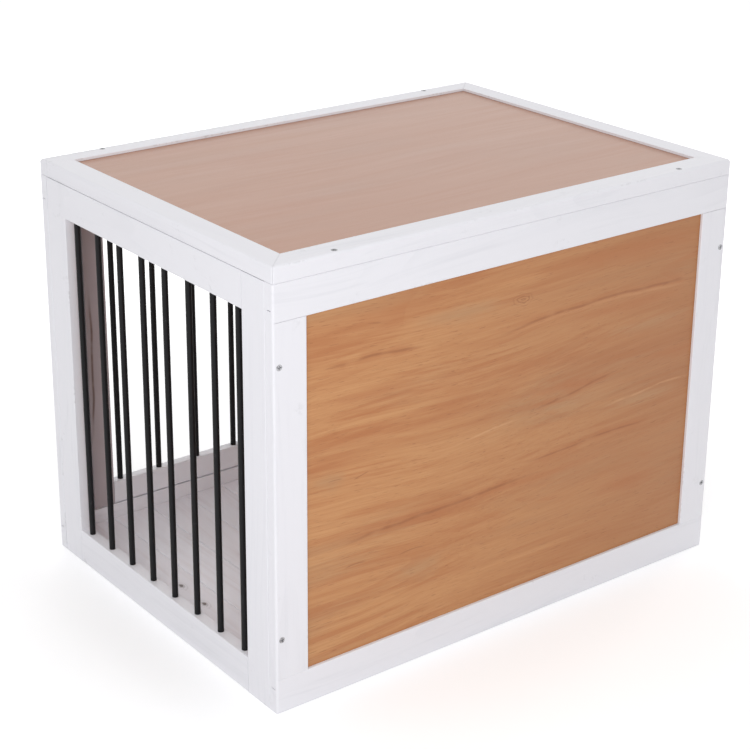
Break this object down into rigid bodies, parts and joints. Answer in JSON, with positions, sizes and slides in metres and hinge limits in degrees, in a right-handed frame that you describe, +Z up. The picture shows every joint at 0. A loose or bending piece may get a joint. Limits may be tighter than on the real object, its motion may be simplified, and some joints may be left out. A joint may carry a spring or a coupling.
{
  "type": "pet crate",
  "caption": "Furniture-style pet crate: white wooden frame, barred ends, brown panelled side and top, boarded floor and a pair of barred doors with slide bolts.",
  "frame": {"origin": "on the ground under the middle of the crate's carcass, at the underside of the centre floor batten", "axes": "+X along the crate's length, +Y out through the doors, +Z up"},
  "size_m": [0.635, 0.4828, 0.493],
  "materials": {
    "white_wood": "satin white paint on fir",
    "brown_board": "satin brown wood-grain laminate",
    "floor_wood": "white-washed fir boards",
    "bar_steel": "satin black powder coat",
    "black_hardware": "satin black coated steel",
    "screw_steel": "zinc plated"
  },
  "bodies": {
    "crate": {"door_side_bottom_rail": "white_wood", "door_side_left_stile": "white_wood", "door_side_post": "white_wood", "door_side_right_stile": "white_wood", "door_side_top_rail": "white_wood", "floor_batten_centre": "floor_wood", "floor_batten_door_side": "floor_wood", "floor_batten_panel_side": "floor_wood", "floor_boards": "floor_wood", "frame_screws": "screw_steel", "hardware_screws": "screw_steel", "left_bolt_keeper": "black_hardware", "left_end_bars": "bar_steel", "left_end_bottom_rail": "white_wood", "left_end_door_stile": "white_wood", "left_end_panel_stile": "white_wood", "left_end_top_rail": "white_wood", "left_hinge_frame_leaves": "black_hardware", "left_hinge_pins": "black_hardware", "lid_door_side_rail": "white_wood", "lid_left_rail": "white_wood", "lid_panel": "brown_board", "lid_panel_side_rail": "white_wood", "lid_right_rail": "white_wood", "lid_screws": "screw_steel", "panel_side_bottom_rail": "white_wood", "panel_side_left_stile": "white_wood", "panel_side_right_stile": "white_wood", "panel_side_top_rail": "white_wood", "right_bolt_keeper": "black_hardware", "right_end_bars": "bar_steel", "right_end_bottom_rail": "white_wood", "right_end_door_stile": "white_wood", "right_end_panel_stile": "white_wood", "right_end_top_rail": "white_wood", "right_hinge_frame_leaves": "black_hardware", "right_hinge_pins": "black_hardware", "side_panel": "brown_board"},
    "left_door": {"left_bolt_plate": "black_hardware", "left_door_bars": "bar_steel", "left_door_bottom_rail": "white_wood", "left_door_hinge_leaves": "black_hardware", "left_door_hinge_stile": "white_wood", "left_door_latch_stile": "white_wood", "left_door_screws": "screw_steel", "left_door_top_rail": "white_wood"},
    "right_door": {"right_bolt_plate": "black_hardware", "right_door_bars": "bar_steel", "right_door_bottom_rail": "white_wood", "right_door_hinge_leaves": "black_hardware", "right_door_hinge_stile": "white_wood", "right_door_latch_stile": "white_wood", "right_door_screws": "screw_steel", "right_door_top_rail": "white_wood"},
    "left_bolt": {"left_bolt": "black_hardware", "left_bolt_knob": "black_hardware"},
    "right_bolt": {"right_bolt": "black_hardware", "right_bolt_knob": "black_hardware"}
  },
  "joints": [
    {"name": "left_door_swing", "type": "hinge", "parent": "crate", "child": "left_door", "pos_m": [-0.27675, 0.2365, 0.2375], "axis": [0, 0, 1], "range_deg": [0, 180]},
    {"name": "right_door_swing", "type": "hinge", "parent": "crate", "child": "right_door", "pos_m": [0.27675, 0.2365, 0.2375], "axis": [0, 0, -1], "range_deg": [0, 180]},
    {"name": "left_bolt_slide", "type": "slide", "parent": "left_door", "child": "left_bolt", "axis": [1, 0, 0], "range_m": [0, 0.01]},
    {"name": "right_bolt_slide", "type": "slide", "parent": "right_door", "child": "right_bolt", "axis": [-1, 0, 0], "range_m": [0, 0.01]}
  ]
}
